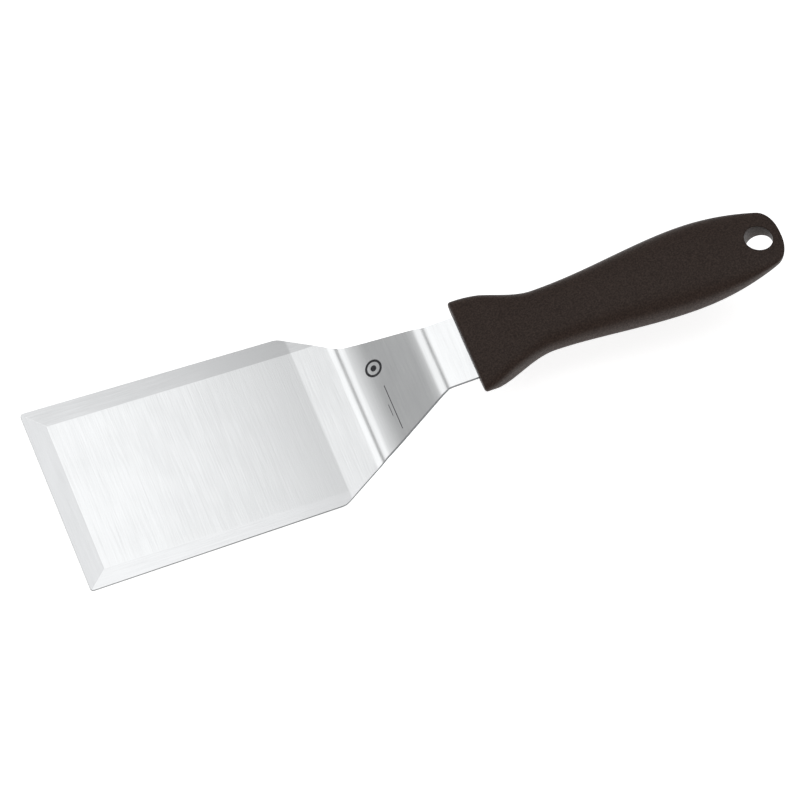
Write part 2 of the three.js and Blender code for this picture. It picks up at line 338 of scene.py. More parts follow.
@dataclass(frozen=True)
class BrushedSteel(Finish):
    """Stainless steel with fine scratches in one direction.

    Attributes:
        name: The material's name.
        brushing: Which way the scratches run.
        colour: The metal's reflectance.
        roughness: Mean roughness.
        spread: How much the scratches change the roughness.
        levels: Levels of the scratches' noise at the ends of that change.
        depth: Height of the scratches in metres.
        pitch: Scratches per metre.
        stretch: How many times longer than wide a scratch is.
        fineness: How many octaves a scratch has, and how strong the finer ones are.
        cloud_pitch: Clouds per metre in the polish.
        cloud_share: The clouds' share in the roughness.
    """

    name: str
    brushing: Brushing
    colour: Colour = (0.86, 0.872, 0.88)
    roughness: float = 0.17
    spread: float = 0.06
    levels: Point2 = (0.3, 0.7)
    depth: float = 0.000004
    pitch: float = 2600.0
    stretch: float = 45.0
    fineness: Point2 = (3.0, 0.6)
    cloud_pitch: float = 45.0
    cloud_share: float = 0.3

    def surface(self, wiring: Wiring) -> dict[str, Any]:
        """Makes the finish's own nodes.

        Args:
            wiring: The material's nodes.

        Returns:
            Values or output sockets by the shader's input name.
        """
        fine, long = self.pitch, self.pitch / self.stretch
        scale = (fine, long, fine) if self.brushing is Brushing.ACROSS else (long, fine, fine)
        spots = wiring.node("ShaderNodeMapping", {"Vector": wiring.place, "Scale": scale}).outputs[0]
        scratches = wiring.noise(spots, 1.0, *self.fineness)
        cloud = wiring.noise(wiring.place, self.cloud_pitch)
        mixed = wiring.math(
            "ADD",
            wiring.math("MULTIPLY", scratches, 1 - self.cloud_share),
            wiring.math("MULTIPLY", cloud, self.cloud_share),
        )
        low, high = self.roughness - self.spread, self.roughness + self.spread
        return {
            "Base Color": (*self.colour, 1.0),
            "Metallic": 1.0,
            "Roughness": wiring.remap(mixed, self.levels, (low, high)),
            "Normal": wiring.relief(scratches, self.depth),
        }


@dataclass(frozen=True)
class ShearedEdgeWithPaintedShade(Finish):
    """The cut edge of the sheet: duller than its faces, and darker partly for its rough torn steel and partly
    by painted shade.

    Attributes:
        name: The material's name.
        bright: Reflectance of the polished band, set low partly as painted shade.
        dull: Reflectance of the torn band, set low partly as painted shade.
        levels: Noise levels where the dull band ends and the bright one is full.
        roughness: Roughness all over.
        pitch: Tears per metre.
        depth: Depth of the tears in metres.
    """

    name: str = "sheared_edge_with_painted_shade"
    # These colours are darker than rough sheared steel alone would be: painted shade on the sheet's cut edge.
    bright: Colour = (0.24, 0.245, 0.25)
    dull: Colour = (0.13, 0.133, 0.138)
    levels: Point2 = (0.35, 0.65)
    roughness: float = 0.42
    pitch: float = 3000.0
    depth: float = 0.00002

    def surface(self, wiring: Wiring) -> dict[str, Any]:
        """Makes the finish's own nodes.

        Args:
            wiring: The material's nodes.

        Returns:
            Values or output sockets by the shader's input name.
        """
        tears = wiring.noise(wiring.place, self.pitch, detail=3.0)
        return {
            "Base Color": wiring.tint(tears, self.levels, self.dull, self.bright),
            "Metallic": 1.0,
            "Roughness": self.roughness,
            "Normal": wiring.relief(tears, self.depth),
        }


@dataclass(frozen=True)
class GrainedPlastic(Finish):
    """Dark moulded plastic with the fine spark-eroded grain of its mould.

    Attributes:
        name: The material's name.
        colour: Colour of the plastic in the grain's valleys.
        worn_colour: Colour on the grain's tops.
        worn_levels: Levels of the grain where the wear starts and is full.
        gloss: How strongly the surface mirrors light from straight above it.
        roughness: Mean roughness.
        spread: How much the grain changes the roughness.
        levels: Levels of the grain at the ends of that change.
        grain: Grains per metre.
        evenness: How strong the grain's finer octaves are.
        pits: Pits for each grain.
        pit_share: The pits' height against the grain's.
        depth: Height of the grain in metres.
    """

    name: str = "grained_brown_plastic"
    colour: Colour = (0.0235, 0.0122, 0.0082)
    worn_colour: Colour = (0.0530, 0.0325, 0.0245)
    worn_levels: Point2 = (0.36, 0.68)
    gloss: float = 0.25
    roughness: float = 0.46
    spread: float = 0.08
    levels: Point2 = (0.3, 0.7)
    grain: float = 1500.0
    evenness: float = 0.55
    pits: float = 0.8
    pit_share: float = 0.5
    depth: float = 0.00006

    def surface(self, wiring: Wiring) -> dict[str, Any]:
        """Makes the finish's own nodes.

        Args:
            wiring: The material's nodes.

        Returns:
            Values or output sockets by the shader's input name.
        """
        grain = wiring.noise(wiring.place, self.grain, roughness=self.evenness)
        cells = {"Vector": wiring.place, "Scale": self.grain * self.pits}
        pits = wiring.node("ShaderNodeTexVoronoi", cells, feature="SMOOTH_F1").outputs["Distance"]
        height = wiring.math("ADD", grain, wiring.math("MULTIPLY", pits, self.pit_share))
        low, high = self.roughness - self.spread, self.roughness + self.spread
        return {
            "Base Color": wiring.tint(grain, self.worn_levels, self.colour, self.worn_colour),
            "Roughness": wiring.remap(grain, self.levels, (high, low)),
            "Specular IOR Level": self.gloss,
            "Normal": wiring.relief(height, self.depth),
        }


@dataclass(frozen=True)
class EtchedSteel(Finish):
    """Steel darkened by an electrolytic etch.

    Attributes:
        name: The material's name.
        colour: Reflectance of the etch.
        patchy: Reflectance where the etch took less.
        levels: Noise levels where the etch starts to thin and is thinnest.
        metal: How much of the steel's own shine is left.
        roughness: Roughness all over.
        patches: Patches per metre.
    """

    name: str = "etched_steel_mark"
    colour: Colour = (0.035, 0.036, 0.04)
    patchy: Colour = (0.09, 0.092, 0.098)
    levels: Point2 = (0.4, 0.7)
    metal: float = 0.6
    roughness: float = 0.5
    patches: float = 1800.0

    def surface(self, wiring: Wiring) -> dict[str, Any]:
        """Makes the finish's own nodes.

        Args:
            wiring: The material's nodes.

        Returns:
            Values or output sockets by the shader's input name.
        """
        cloud = wiring.noise(wiring.place, self.patches)
        return {
            "Base Color": wiring.tint(cloud, self.levels, self.colour, self.patchy),
            "Metallic": self.metal,
            "Roughness": self.roughness,
        }


@dataclass(frozen=True)
class WhiteFloor(Finish):
    """The plain matt floor, which glows a little so that it meets the backdrop unseen.

    Attributes:
        name: The material's name.
        tone: Its reflectance.
        glow: How much light it gives of its own.
        roughness: Roughness all over.
    """

    name: str = "white_floor"
    tone: float = 0.86
    glow: float = 0.76
    roughness: float = 0.9

    def surface(self, wiring: Wiring) -> dict[str, Any]:
        """The shader's inputs, which need no nodes."""
        return {
            "Base Color": (self.tone, self.tone, self.tone, 1.0),
            "Roughness": self.roughness,
            "Specular IOR Level": 0.0,
            "Emission Color": (1.0, 1.0, 1.0, 1.0),
            "Emission Strength": self.glow,
        }


# ---------------------------------------------------------------- plane outlines


def rounded(corners: Sequence[tuple[float, float, float]], steps: int = 8) -> list[Point2]:
    """An open run of corners with the inner ones rounded.

    Args:
        corners: Rows of x, y and rounding length; the first and last stay sharp.
        steps: Segments in each rounding.

    Returns:
        The points of the rounded run.
    """
    places = [Vector(c[:2]) for c in corners]
    points: list[Point2] = [tuple(places[0])]
    for i in range(1, len(corners) - 1):
        corner, radius = places[i], corners[i][2]
        before = (places[i - 1] - corner).normalized()
        after = (places[i + 1] - corner).normalized()
        setback = radius * math.tan((math.pi - before.angle(after)) / 2)
        start, end = corner + before * setback, corner + after * setback
        for k in range(steps + 1 if radius else 1):
            t = k / steps
            spot = start * (1 - t) ** 2 + corner * 2 * t * (1 - t) + end * t**2
            points.append(tuple(spot))
    points.append(tuple(places[-1]))
    return points


def circle(centre: Point2, radius: float, steps: int, phase: float = 0.0) -> list[Point2]:
    """Points round a circle, clockwise.

    Args:
        centre: Its centre.
        radius: Its radius.
        steps: How many points.
        phase: Angle of the first point.

    Returns:
        The points.
    """
    turns = [phase - 2 * math.pi * k / steps for k in range(steps)]
    return [(centre[0] + radius * math.cos(a), centre[1] + radius * math.sin(a)) for a in turns]


def add_face(bm: BMesh, loops: Sequence[Sequence[Point2]]) -> None:
    """Adds a flat region to a mesh: one face, or triangles if it has holes.

    Args:
        bm: The mesh.
        loops: The outline, then any holes.
    """
    if len(loops) == 1:
        bm.faces.new([bm.verts.new((x, y, 0)) for x, y in loops[0]])
        return
    flat = [Vector((x, y, 0)) for loop in loops for x, y in loop]
    verts = [bm.verts.new(p) for p in flat]
    for corners in tessellate_polygon([[Vector((x, y, 0)) for x, y in loop] for loop in loops]):
        bm.faces.new([verts[i] for i in corners])


def thicken(bm: BMesh, bottom: float) -> list[BMFace]:
    """Closes a sheet of faces that look up into a solid with a level underside.

    Args:
        bm: The mesh, whose faces all look up.
        bottom: Height of the underside.

    Returns:
        The faces of the wall between both sides.
    """
    rim = [(e.verts[0], e.verts[1], e.link_faces[0]) for e in bm.edges if len(e.link_faces) == 1]
    copy = bmesh.ops.duplicate(bm, geom=bm.verts[:] + bm.edges[:] + bm.faces[:])
    below = copy["vert_map"]
    low_faces = [g for g in copy["geom"] if isinstance(g, BMFace)]
    bmesh.ops.reverse_faces(bm, faces=low_faces)
    for vert in {v for f in low_faces for v in f.verts}:
        vert.co.z = bottom
    wall = []
    for a, b, face in rim:
        loop = next(l for l in face.loops if {l.vert, l.link_loop_next.vert} == {a, b})
        first, second = loop.vert, loop.link_loop_next.vert
        wall.append(bm.faces.new((second, first, below[first], below[second])))
    return wall

def mirrored(edge: Sequence[Point2]) -> list[Point2]:
    """A closed outline from its half on one side of the middle."""
    return [(x, -y) for x, y in edge] + [(x, y) for x, y in reversed(edge)]


def face_up(bm: BMesh) -> None:
    """Turns every face of a flat sheet to look up.

    Args:
        bm: The mesh.
    """
    for face in bm.faces:
        face.normal_update()
        if face.normal.z < 0:
            face.normal_flip()


def make_plate(bm: BMesh, top: float, bottom: float) -> None:
    """Thickens a flat sheet of faces into a level plate.

    Args:
        bm: The mesh.
        top: Height of its top face.
        bottom: Height of its underside.
    """
    face_up(bm)
    for vert in bm.verts:
        vert.co.z = top
    thicken(bm, bottom)


def finished_mesh(bm: BMesh, name: str) -> Mesh:
    """Writes a mesh to Blender and frees its working copy.

    Args:
        bm: The working copy.
        name: The mesh's name.

    Returns:
        The mesh.
    """
    mesh = bpy.data.meshes.new(name)
    bm.to_mesh(mesh)
    bm.free()
    return mesh
# ---------------------------------------------------------------- steel pressing


@dataclass(frozen=True)
class Bend:
    """One bend of the sheet, in the flat blank's own lengths.

    Attributes:
        start: Place along the blank where the bend starts.
        turn: Angle of the bend, positive upwards.
        radius: Radius to the middle of the sheet.
    """

    start: float
    turn: float
    radius: float

    @property
    def end(self) -> float:
        """Place along the blank where the bend ends."""
        return self.start + abs(self.turn) * self.radius


@dataclass
class SteelPressing:
    """Blade, cranked step, neck and hidden tang, all one sheet of steel. Millimetres."""

    blade_length: float = 105.2
    front_width: float = 85.0
    rear_width: float = 80.4
    front_corner: float = 1.5
    rear_corner: float = 7.0
    sheet: float = 1.3
    edge_thickness: float = 0.65
    crease_at: float = 108.2
    crease_angle: float = math.radians(1.3)
    crease_radius: float = 40.0
    front_bevel: float = 7.9
    bevels: dict[Side, Point2] = field(
        default_factory=lambda: {Side.LEFT: (9.3, 8.1), Side.RIGHT: (7.4, 5.0)}
    )
    step_start: float = 127.0
    step_width: float = 53.0
    sharp_angle: float = math.radians(40)
    step_corner: float = 12.0
    step_run: float = 30.0
    step_rise: float = 17.3
    bend_radius: float = 16.0
    fold_lead: float = 0.8
    ease_in: float = math.radians(4.2)
    ease_in_length: float = 8.0
    ease_out: float = math.radians(1.6)
    ease_out_length: float = 3.5
    neck_width: float = 29.2
    neck_length: float = 12.4
    neck_angle: float = math.radians(4.6)
    tang_length: float = 88.0
    tang_width: float = 18.0
    tang_shoulder: float = 7.0
    tang_holes: tuple[float, ...] = (28.0, 50.0, 72.0)
    tang_hole: float = 7.0
    tang_corner: float = 1.5
    ring_points: int = 32
    ring_phase: float = 0.03
    soft_line: float = 0.22
    edge_rounding: float = 0.09
    edge_segments: int = 2
    level_within: float = 0.004
    edge_step: float = 1.5
    row_step: float = 6.0
    tang_row_step: float = 8.0
    span_rows: tuple[int, ...] = (4, 5, 19, 7, 4, 6, 19, 3)
    outer_columns: float = 36.0
    bevels_beyond: float = 20.0
    reach: float = 400.0
    reach_points: int = 4001

    def __post_init__(self) -> None:
        """Works out where the bends fall on the flat blank."""
        slope = math.atan2(self.step_rise, self.step_run)
        sharp_up, sharp_back = slope - self.crease_angle, slope - self.neck_angle
        setbacks = self.bend_radius * (math.tan(sharp_up / 2) + math.tan(sharp_back / 2))
        straight = math.hypot(self.step_run, self.step_rise) - setbacks
        eased = (self.ease_in * self.ease_in_length + self.ease_out * self.ease_out_length) / 2
        plate = slope + eased / straight
        up = plate - self.ease_in - self.crease_angle
        shoulder = (self.step_start - self.crease_at) / math.cos(self.crease_angle)
        lead = self.bend_radius * math.tan(up / 2) + self.ease_in * self.ease_in_length / 2 / math.sin(up)
        start = self.crease_at + shoulder - lead - self.fold_lead
        flat = straight - self.ease_in_length - self.ease_out_length
        self.bend_all(start, plate, flat)
        reached = float(np.interp(self.handle_front, self._plan, self._height))
        missing = self.axis_height - self.sheet / 2 - reached
        flat += missing / (math.sin(plate) - math.cos(plate) * math.tan(self.neck_angle))
        self.bend_all(start, plate, flat)

    def bend_all(self, start: float, plate: float, flat: float) -> None:
        """Lists the folds and where each place on the blank comes to.

        Args:
            start: Place along the blank where the lower bend starts.
            plate: Slope of the steep plate.
            flat: Length of the plate's flat middle.
        """
        crease_half = self.crease_radius * self.crease_angle / 2
        crease = Bend(self.crease_at - crease_half, self.crease_angle, self.crease_radius)
        lower = Bend(start, plate - self.ease_in - self.crease_angle, self.bend_radius)
        ease_in = Bend(lower.end, self.ease_in, self.ease_in_length / self.ease_in)
        ease_out = Bend(ease_in.end + flat, -self.ease_out, self.ease_out_length / self.ease_out)
        upper = Bend(ease_out.end, self.ease_out + self.neck_angle - plate, self.bend_radius)
        self.folds = dict(zip(Fold, (crease, lower, ease_in, ease_out, upper)))
        self._blank = np.linspace(0, self.reach, self.reach_points)
        self._plan, self._height = self.places_along_fold(self._blank).T

    def places_along_fold(self, along: np.ndarray) -> np.ndarray:
        """Where the middle of the folded sheet is.

        Args:
            along: Places along the flat blank.

        Returns:
            Rows of x and z.
        """
        slope = np.zeros_like(along)
        for fold in self.folds.values():
            slope += np.clip((along - fold.start) / fold.radius, 0, abs(fold.turn)) * np.sign(fold.turn)
        middle = (slope[1:] + slope[:-1]) / 2
        step = np.diff(along)
        x = np.concatenate([[0], np.cumsum(np.cos(middle) * step)])
        z = np.concatenate([[0], np.cumsum(np.sin(middle) * step)])
        return np.column_stack([x, z])

    def place_on_fold(self, along: float) -> tuple[float, float, float]:
        """Where the middle of the sheet is at a place on the blank, and its slope there.

        Args:
            along: The place along the blank.

        Returns:
            Its x and z after folding, and the slope.
        """
        x, z = (float(np.interp(along, self._blank, way)) for way in (self._plan, self._height))
        slope = 0.0
        for fold in self.folds.values():
            share = min(max((along - fold.start) / fold.radius, 0), abs(fold.turn))
            slope += math.copysign(share, fold.turn)
        return x, z, slope

    def blank(self, x: float) -> float:
        """Place on the flat blank of a place seen from above."""
        return float(np.interp(x, self._plan, self._blank))

    @property
    def handle_front(self) -> float:
        """The handle's front face, seen from above."""
        return self.step_start + self.step_run + self.neck_length

    @property
    def axis_height(self) -> float:
        """Height of the neck's middle at the handle's front face."""
        lift = (self.step_start - self.crease_at) * math.tan(self.crease_angle)
        return self.sheet / 2 + lift + self.step_rise + self.neck_length * math.tan(self.neck_angle)

    def bevel_line(self, side: Side, along: float) -> float:
        """Distance from the middle to a side bevel's inner line.

        Args:
            side: Which bevel.
            along: Place along the blade.

        Returns:
            The distance across.
        """
        front, rear = self.bevels[side]
        inner_front, inner_rear = self.front_width / 2 - front, self.rear_width / 2 - rear
        return inner_front + (inner_rear - inner_front) * along / self.blade_length

    def top(self, x: float, y: float) -> float:
        """Height of the blank's top face over its underside.

        Args:
            x: Place along the blank.
            y: Place across it.

        Returns:
            The height.
        """
        if x > self.folds[Fold.LOWER].start:
            return self.sheet
        rise = self.sheet - self.edge_thickness
        height = min(self.sheet, self.edge_thickness + rise * x / self.front_bevel)
        for side in Side:
            beyond = y * side.value - self.bevel_line(side, x)
            height = min(height, self.sheet - beyond * rise / self.bevels[side][0])
        return height

    def half_outline(self) -> list[Point2]:
        """The right-hand edge of the flat blank, from the front to the end of the tang.

        Returns:
            Points with their distance from the middle, as positive numbers.
        """
        plan = rounded([
            (0, 0, 0),
            (0, self.front_width / 2, self.front_corner),
            (self.blade_length, self.rear_width / 2, self.rear_corner),
            (self.step_start, self.step_width / 2, self.step_corner),
            (self.step_start + self.step_run, self.neck_width / 2, 0),
        ])
        edge = [plan[0]]
        for (x0, y0), (x1, y1) in zip(plan, plan[1:]):
            parts = max(1, round(abs(x1 - x0) / self.edge_step))
            edge += [(x0 + (x1 - x0) * k / parts, y0 + (y1 - y0) * k / parts) for k in range(1, parts + 1)]
        edge = [(self.blank(x), y) for x, y in edge if y > 0]
        return edge + self.tang_edge(self.blank(self.handle_front))

    def tang_edge(self, front: float, gap: float = 0.0) -> list[Point2]:
        """The right-hand edge of the tang, from its shoulder to its end.

        Args:
            front: Place of the handle's front face.
            gap: How far outside the steel the edge runs.

        Returns:
            Points with their distance from the middle, as positive numbers.
        """
        neck, half = self.neck_width / 2 + gap, self.tang_width / 2 + gap
        shoulder, end = front + self.tang_shoulder + gap, front + self.tang_length + gap
        return rounded([
            (shoulder, neck, 0),
            (shoulder + neck - half, half, self.tang_corner),
            (end, half, self.tang_width / 4),
            (end, 0, 0),
        ])[:-1]

    def hole_rings(self, front: float, radius: float) -> list[list[Point2]]:
        """Rings at the tang's holes, each turned a little so that no three points line up.

        Args:
            front: Place of the handle's front face.
            radius: Radius of the rings.

        Returns:
            One ring for each hole.
        """
        turns = [self.ring_phase * (i + 1) for i in range(len(self.tang_holes))]
        return [circle((front + x, 0), radius, self.ring_points, t) for x, t in zip(self.tang_holes, turns)]

    def cut_lines(self) -> list[float]:
        """Places along the blank where its mesh has a row of edges.

        Returns:
            The places, in order.
        """
        crease, lower, ease_in, ease_out, upper = self.folds.values()
        front = self.blank(self.handle_front)
        rows = [
            *np.arange(self.front_bevel, crease.start - self.row_step / 2, self.row_step),
            self.front_bevel - self.soft_line,
            self.front_bevel + self.soft_line,
            *np.arange(front + self.tang_row_step, front + self.tang_length, self.tang_row_step),
        ]
        breaks = [crease.start, crease.end, lower.start, lower.end, ease_in.end]
        breaks += [ease_out.start, upper.start, upper.end, front]
        for start, end, count in zip(breaks, breaks[1:], self.span_rows):
            rows += list(np.linspace(start, end, count))
        return sorted({round(float(r), DIGITS) for r in rows})

    def flat_blank(self) -> Mesh:
        """The bevelled, flat blank in metres, with its middle layer on Z = 0.

        Returns:
            A closed mesh with each face's zone.
        """
        bm = bmesh.new()
        edge = self.half_outline()
        front = self.blank(self.handle_front)
        split = front + self.tang_shoulder / 2
        blade = [p for p in edge if p[0] < split]
        tang = [p for p in edge if p[0] > split]
        blade.append((split, self.neck_width / 2))
        tang.insert(0, (split, self.neck_width / 2))
        holes = self.hole_rings(front, self.tang_hole / 2)
        add_face(bm, [mirrored(blade)])
        add_face(bm, [mirrored(tang), *holes])
        bmesh.ops.remove_doubles(bm, verts=bm.verts, dist=SAME_PLACE)
        self.cut_rows(bm)
        bmesh.ops.dissolve_degenerate(bm, dist=SLIVER, edges=bm.edges)
        bmesh.ops.recalc_face_normals(bm, faces=bm.faces)
        face_up(bm)
        for vert in bm.verts:
            vert.co.z = self.top(vert.co.x, vert.co.y) - self.sheet / 2
        zone = bm.faces.layers.int.new("zone")
        for face in bm.faces:
            face[zone] = self.zone_of(face.calc_center_median()).value
        for face in thicken(bm, -self.sheet / 2):
            face[zone] = Zone.SHEARED.value
        for face in bm.faces:
            face.smooth = True
        for line in bm.edges:
            kinds = {face[zone] for face in line.link_faces}
            line.smooth = not (Zone.SHEARED.value in kinds and len(kinds) > 1)
        bmesh.ops.scale(bm, vec=(MM, MM, MM), verts=bm.verts)
        return finished_mesh(bm, "steel_blank")

    def zone_of(self, centre: Vector) -> Zone:
        """Which finish a place on the blank's top face has.

        Args:
            centre: The place, in millimetres.

        Returns:
            Its zone.
        """
        height = self.top(centre.x, centre.y)
        if height > self.sheet - self.level_within:
            return Zone.ROLLED
        front = self.edge_thickness + (self.sheet - self.edge_thickness) * centre.x / self.front_bevel
        return Zone.FRONT_BEVEL if front <= height + SAME_HEIGHT else Zone.SIDE_BEVEL

    def cut_rows(self, bm: BMesh) -> None:
        """Cuts the flat blank along every line that its shape or its bends need.

        Args:
            bm: The flat blank, in millimetres.
        """
        def cut(spot: Point2, across: Sequence[float], faces: Iterable[Any] | None = None) -> None:
            """Cuts the blank by an upright plane.

            Args:
                spot: A place on the plane.
                across: The plane's normal.
                faces: The faces to cut, or all of them.
            """
            chosen = list(bm.faces if faces is None else faces)
            parts = {e for f in chosen for e in f.edges} | {v for f in chosen for v in f.verts} | set(chosen)
            bmesh.ops.bisect_plane(
                bm, geom=list(parts), dist=SAME_PLACE, plane_co=(*spot, 0), plane_no=(*across, 0)
            )

        def cut_bevel_line(first: Point2, last: Point2, side: Side) -> None:
            """Cuts a bevel's edge three times, close together, so that it shades as a soft line.

            Args:
                first: The line's front end.
                last: Its rear end.
                side: The side that it is on.
            """
            across = Vector((first[1] - last[1], last[0] - first[0])).normalized()
            for shift in (-self.soft_line, 0.0, self.soft_line):
                spots = ((f, f.calc_center_median()) for f in bm.faces)
                near = [
                    f for f, c in spots
                    if first[0] < c.x < last[0] and c.y * side.value > self.bevels_beyond
                ]
                cut((first[0] + across.x * shift, first[1] + across.y * shift), across, near)

        rows = self.cut_lines()
        for row in rows:
            cut((row, 0), (1, 0))
        for y in np.arange(-self.outer_columns, self.outer_columns + 1, self.row_step):
            cut((0, float(y)), (0, 1))
        ends = [0.0, *[r for r in rows if r <= self.folds[Fold.LOWER].start + SAME_PLACE]]
        for x0, x1 in zip(ends, ends[1:]):
            for side in Side:
                y0, y1 = (side.value * self.bevel_line(side, x) for x in (x0, x1))
                cut_bevel_line((x0, y0), (x1, y1), side)
        for side in Side:
            inner = side.value * self.bevel_line(side, self.front_bevel)
            cut_bevel_line((0, side.value * self.front_width / 2), (self.front_bevel, inner), side)

    @staticmethod
    def fold_group() -> NodeTree:
        """A node group that folds everything past a line round a bend.

        Returns:
            The group, with the bend's start, turn and radius as inputs, in metres and radians.
        """
        wiring, given, result = geometry_tree(
            "fold_along_a_bend",
            [(name, "NodeSocketFloat") for name in ("Bend start", "Turn", "Radius")],
        )
        start, turn, radius = (given.outputs[k] for k in ("Bend start", "Turn", "Radius"))
        spot = wiring.split(wiring.node("GeometryNodeInputPosition").outputs[0])
        way = wiring.math("SIGN", turn)
        past = wiring.math("SUBTRACT", spot["X"], start)
        angle = wiring.math("MAXIMUM", wiring.math("DIVIDE", past, radius), 0.0)
        angle = wiring.math("MINIMUM", angle, wiring.math("ABSOLUTE", turn))
        rest = wiring.math("SUBTRACT", past, wiring.math("MULTIPLY", angle, radius))
        arm = wiring.math("SUBTRACT", radius, wiring.math("MULTIPLY", way, spot["Z"]))
        sine, cosine = wiring.math("SINE", angle), wiring.math("COSINE", angle)
        ahead = wiring.math("ADD", start, wiring.math("MULTIPLY", arm, sine))
        ahead = wiring.math("ADD", ahead, wiring.math("MULTIPLY", rest, cosine))
        drop = wiring.math("SUBTRACT", radius, wiring.math("MULTIPLY", arm, cosine))
        height = wiring.math("MULTIPLY", way, wiring.math("ADD", drop, wiring.math("MULTIPLY", rest, sine)))
        place = wiring.node("ShaderNodeCombineXYZ", {"X": ahead, "Y": spot["Y"], "Z": height}).outputs[0]
        flow = {"Geometry": given.outputs["Geometry"], "Position": place}
        wiring.feed(result.inputs["Geometry"], wiring.node("GeometryNodeSetPosition", flow).outputs[0])
        return wiring.tree

    def press_tree(self, finishes: dict[Zone, Material]) -> NodeTree:
        """The tree that folds the blank, sets it in its place and dresses each zone.

        Args:
            finishes: The material of each zone.

        Returns:
            The tree.
        """
        group = self.fold_group()
        names = [f"{fold.value} {what}" for fold in Fold for what in ("start", "turn", "radius")]
        wiring, given, result = geometry_tree(
            "press_the_blank",
            [(name, "NodeSocketFloat") for name in names] + [("Place", "NodeSocketVector")],
        )
        flow = given.outputs["Geometry"]
        for kind in reversed(Fold):
            fold = wiring.node("GeometryNodeGroup", node_tree=group)
            wiring.feed(fold.inputs["Geometry"], flow)
            for name, what in (("Bend start", "start"), ("Turn", "turn"), ("Radius", "radius")):
                wiring.feed(fold.inputs[name], given.outputs[f"{kind.value} {what}"])
            flow = fold.outputs["Geometry"]
        flow = wiring.node("GeometryNodeTransform", {"Geometry": flow, "Translation": given.outputs["Place"]})
        flow = wiring.node("GeometryNodeRealizeInstances", {"Geometry": flow.outputs[0]}).outputs[0]
        zone = wiring.node("GeometryNodeInputNamedAttribute", {"Name": "zone"}, data_type="INT")
        for kind, material in finishes.items():
            chosen = wiring.node(
                "FunctionNodeCompare",
                {2: zone.outputs["Attribute"], 3: kind.value},
                data_type="INT",
                operation="EQUAL",
            )
            flow = wiring.node(
                "GeometryNodeSetMaterial",
                {"Geometry": flow, "Selection": chosen.outputs[0], "Material": material},
            ).outputs[0]
        wiring.feed(result.inputs["Geometry"], flow)
        return wiring.tree

    def build(self, front_edge: float) -> Object:
        """Makes the pressing in its place.

        Args:
            front_edge: X of the blade's front edge, in metres.

        Returns:
            The finished piece.
        """
        # The bevels' steel colours are set darker than the faces' as painted shade, the front bevel most;
        # only their brushing direction is the real grind.
        side, front = (0.82, 0.83, 0.84), (0.70, 0.71, 0.72)
        finishes = {
            Zone.ROLLED: BrushedSteel("brushed_steel_faces", Brushing.ACROSS).material(),
            Zone.SIDE_BEVEL: BrushedSteel("ground_side_bevels_with_painted_shade", Brushing.ALONG, side).material(),
            Zone.FRONT_BEVEL: BrushedSteel("ground_front_bevel_with_painted_shade", Brushing.ACROSS, front).material(),
            # The sheared edge's finish is darkened partly as painted shade.
            Zone.SHEARED: ShearedEdgeWithPaintedShade().material(),
        }
        piece = new_piece("steel_blade_and_tang", self.flat_blank())
        values: dict[str, Any] = {"Place": (front_edge, 0.0, self.sheet / 2 * MM)}
        for kind, bend in self.folds.items():
            values[f"{kind.value} start"] = bend.start * MM
            values[f"{kind.value} turn"] = bend.turn
            values[f"{kind.value} radius"] = bend.radius * MM
        run_tree(piece, self.press_tree(finishes), values)
        rounding = piece.modifiers.new("edge_rounding", "BEVEL")
        rounding.width = self.edge_rounding * MM
        rounding.segments = self.edge_segments
        rounding.limit_method = "ANGLE"
        rounding.angle_limit = self.sharp_angle
        rounding.harden_normals = True
        settle(piece)
        declare(piece, "steel", "steel_pressing")
        return piece


@dataclass
class EtchedMark:
    """A plain ring and rule etched in the steep plate. Millimetres."""

    ring_across: float = 11.0
    ring_along: float = -6.4
    ring_radius: float = 3.7
    ring_line: float = 1.0
    dot_radius: float = 1.3
    rules: tuple[tuple[float, float, float, float], ...] = (
        (-5.2, 1.8, -19.0, 0.3),
        (-6.7, -6.5, -12.0, 0.2),
    )
    proud: float = 0.006
    sunk: float = 0.02
    ring_points: int = 72
    dot_points: int = 32

    def loops(self) -> list[list[list[Point2]]]:
        """Outlines of the mark on the plate, X up the plate and Y across it.

        Returns:
            For each patch, its outline and then any holes.
        """
        middle = (self.ring_along, self.ring_across)
        radii = (self.ring_radius, self.ring_radius - self.ring_line)
        ring = [circle(middle, radius, self.ring_points) for radius in radii]
        patches = [ring, [circle(middle, self.dot_radius, self.dot_points)]]
        for along, start, end, line in self.rules:
            low, high = along - line / 2, along + line / 2
            patches.append([[(low, end), (high, end), (high, start), (low, start)]])
        return patches

    def build(self, steel: SteelPressing, front_edge: float) -> Object:
        """Makes the mark in its place on the plate.

        Args:
            steel: The pressing that carries it.
            front_edge: X of the blade's front edge, in metres.

        Returns:
            The finished piece.
        """
        bm = bmesh.new()
        for patch in self.loops():
            add_face(bm, patch)
        make_plate(bm, self.proud, -self.sunk)
        mesh = finished_mesh(bm, "etched_mark")
        mesh.materials.append(EtchedSteel().material())
        piece = new_piece("etched_mark", mesh)
        lower, upper = steel.folds[Fold.LOWER], steel.folds[Fold.UPPER]
        middle = (lower.end + upper.start) / 2
        for vert in mesh.vertices:
            x, z, slope = steel.place_on_fold(middle + vert.co.x)
            skin = steel.sheet / 2 + vert.co.z
            up, back = skin * math.cos(slope), skin * math.sin(slope)
            spot = Vector((x - back, vert.co.y, steel.sheet / 2 + z + up))
            vert.co = spot * MM + Vector((front_edge, 0, 0))
        declare(piece, "steel")
        return piece


# ---------------------------------------------------------------- handle


